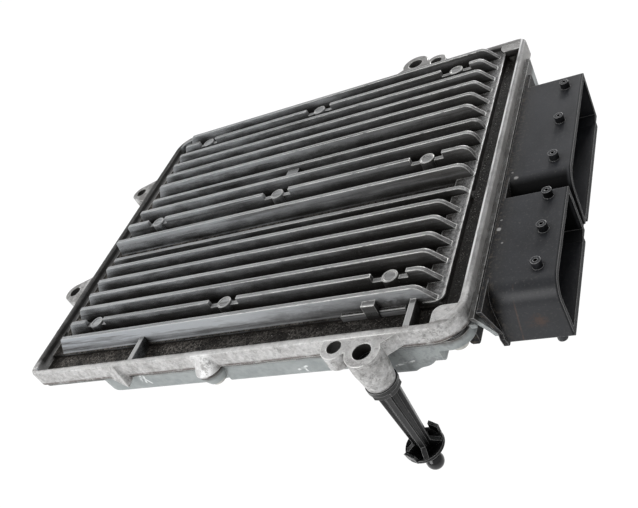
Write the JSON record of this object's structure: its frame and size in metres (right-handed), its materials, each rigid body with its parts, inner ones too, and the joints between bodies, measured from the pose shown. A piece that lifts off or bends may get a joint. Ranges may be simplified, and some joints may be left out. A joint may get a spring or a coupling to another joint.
{
  "type": "engine control unit",
  "caption": "Engine control unit with a finned die-cast cover, screw lugs, base pan, two-bay connector header and a ball-ended leg.",
  "frame": {"origin": "centre of the front small lug hole, at the lug's underside", "axes": "+X along the fins towards the connectors, +Y from the wall with the leg to the back wall, +Z out of the finned face"},
  "size_m": [0.2783, 0.2289, 0.0805],
  "materials": {
    "cast_cover": "as cast, dirty",
    "cast_pan": "as cast, scratched",
    "black_rubber": "matte",
    "black_moulding": "satin",
    "leg_moulding": "satin, chipped",
    "ball_gloss": "gloss",
    "contact_metal": "tinned",
    "board_green": "satin",
    "chip_black": "matte",
    "pad_grey": "soft",
    "can_metal": "satin",
    "ferrite": "matte",
    "screw_steel": "zinc plated"
  },
  "bodies": {
    "root": {"finned_cover": "cast_cover", "base_pan": "cast_pan", "sealing_bead": "black_rubber", "connector_header": "black_moulding", "header_seal": "black_rubber", "header_clip": "black_moulding", "mount_leg": "leg_moulding", "ball_pin": "ball_gloss", "front_signal_pins": "contact_metal", "front_power_blades": "contact_metal", "rear_signal_pins": "contact_metal", "rear_power_blades": "contact_metal", "circuit_board": "board_green", "microcontroller": "chip_black", "memory_chips": "chip_black", "driver_chips": "chip_black", "output_transistors": "chip_black", "thermal_pads": "pad_grey", "capacitors": "can_metal", "inductor": "ferrite", "clock_crystal": "can_metal", "pressure_sensor": "chip_black", "board_screws": "screw_steel", "cover_screws": "screw_steel", "vent_plug": "black_moulding"}
  },
  "joints": []
}
